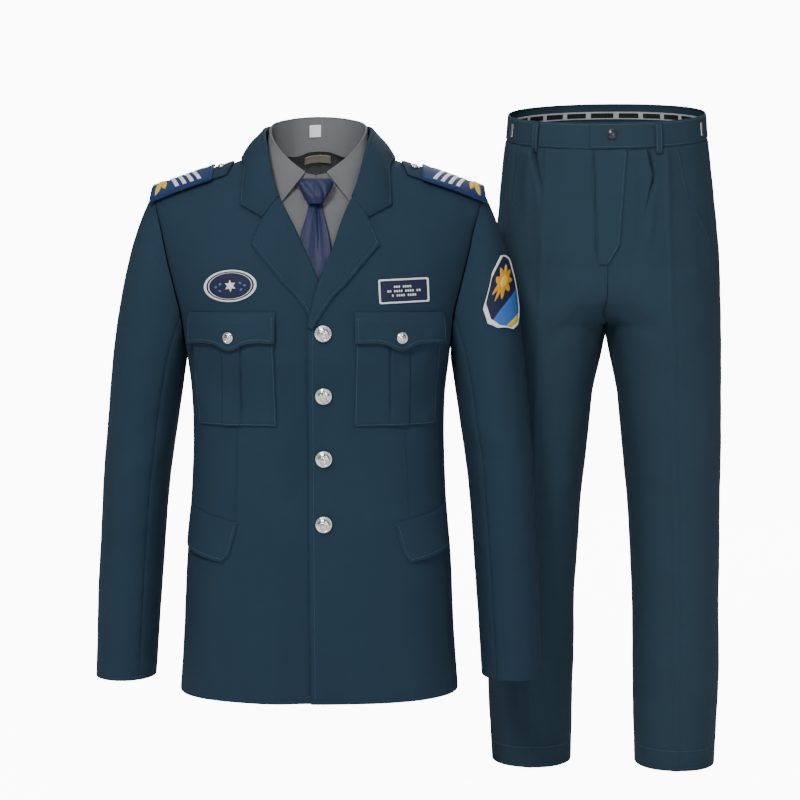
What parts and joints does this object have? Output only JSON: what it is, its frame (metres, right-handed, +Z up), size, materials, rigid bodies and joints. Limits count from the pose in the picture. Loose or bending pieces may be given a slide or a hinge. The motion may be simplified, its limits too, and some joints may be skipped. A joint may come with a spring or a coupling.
{
  "type": "security guard uniform",
  "caption": "Filled-out guard's uniform: buttoned jacket with shoulder boards and flap pockets, over a shirt and tie, and matching trousers.",
  "frame": {"origin": "centre of the neck at the height where the shoulders meet it, which is where the wearer's shoulders hold the jacket up", "axes": "+Z up, -Y the way that the jacket faces, +X towards the wearer's left, where the trousers stand"},
  "size_m": [0.8999, 0.3942, 0.9799],
  "materials": {
    "uniform_wool": "dark teal-blue worsted twill, matt",
    "shirting": "grey poplin, matt",
    "tie_silk": "navy twill silk, soft sheen",
    "button_metal": "bright silver-white with a raised pattern",
    "board_cloth": "blue felt with embroidery",
    "badge_cloth": "embroidered twill, satin",
    "label_cloth": "woven satin label, bare",
    "trouser_wool": "dark teal-blue worsted twill, matt",
    "waist_tape": "pale woven tape with dark dashes",
    "dark_button": "dark, with a bright rim"
  },
  "bodies": {
    "root": {"belt_loop_back": "trouser_wool", "belt_loop_back_left": "trouser_wool", "belt_loop_back_right": "trouser_wool", "belt_loop_front_left": "trouser_wool", "belt_loop_front_right": "trouser_wool", "breast_button_left": "button_metal", "breast_button_right": "button_metal", "breast_flap_left": "uniform_wool", "breast_flap_right": "uniform_wool", "breast_pocket_left": "uniform_wool", "breast_pocket_right": "uniform_wool", "chest_badge": "badge_cloth", "collar_label": "label_cloth", "front_button_1": "button_metal", "front_button_2": "button_metal", "front_button_3": "button_metal", "front_button_4": "button_metal", "hip_flap_left": "uniform_wool", "hip_flap_right": "uniform_wool", "jacket_back_left": "uniform_wool", "jacket_back_right": "uniform_wool", "jacket_collar": "uniform_wool", "jacket_front_left": "uniform_wool", "jacket_front_right": "uniform_wool", "jacket_side_left": "uniform_wool", "jacket_side_right": "uniform_wool", "lapel_left": "uniform_wool", "lapel_right": "uniform_wool", "name_tag": "badge_cloth", "shirt_back_left": "shirting", "shirt_back_right": "shirting", "shirt_collar_fall": "shirting", "shirt_collar_stand": "shirting", "shirt_front_left": "shirting", "shirt_front_right": "shirting", "shoulder_board_left": "board_cloth", "shoulder_board_right": "board_cloth", "shoulder_strap_left": "uniform_wool", "shoulder_strap_right": "uniform_wool", "sleeve_patch": "badge_cloth", "sleeve_top_left": "uniform_wool", "sleeve_top_right": "uniform_wool", "sleeve_under_left": "uniform_wool", "sleeve_under_right": "uniform_wool", "strap_button_left": "button_metal", "strap_button_right": "button_metal", "tie_blade": "tie_silk", "tie_knot": "tie_silk", "trouser_back_left": "trouser_wool", "trouser_back_right": "trouser_wool", "trouser_fly": "trouser_wool", "trouser_front_left": "trouser_wool", "trouser_front_right": "trouser_wool", "trouser_waist_tape": "waist_tape", "trouser_waistband": "trouser_wool", "waist_button": "dark_button", "waist_tab_left": "button_metal", "waist_tab_right": "button_metal", "yoke_label": "label_cloth"}
  },
  "joints": []
}
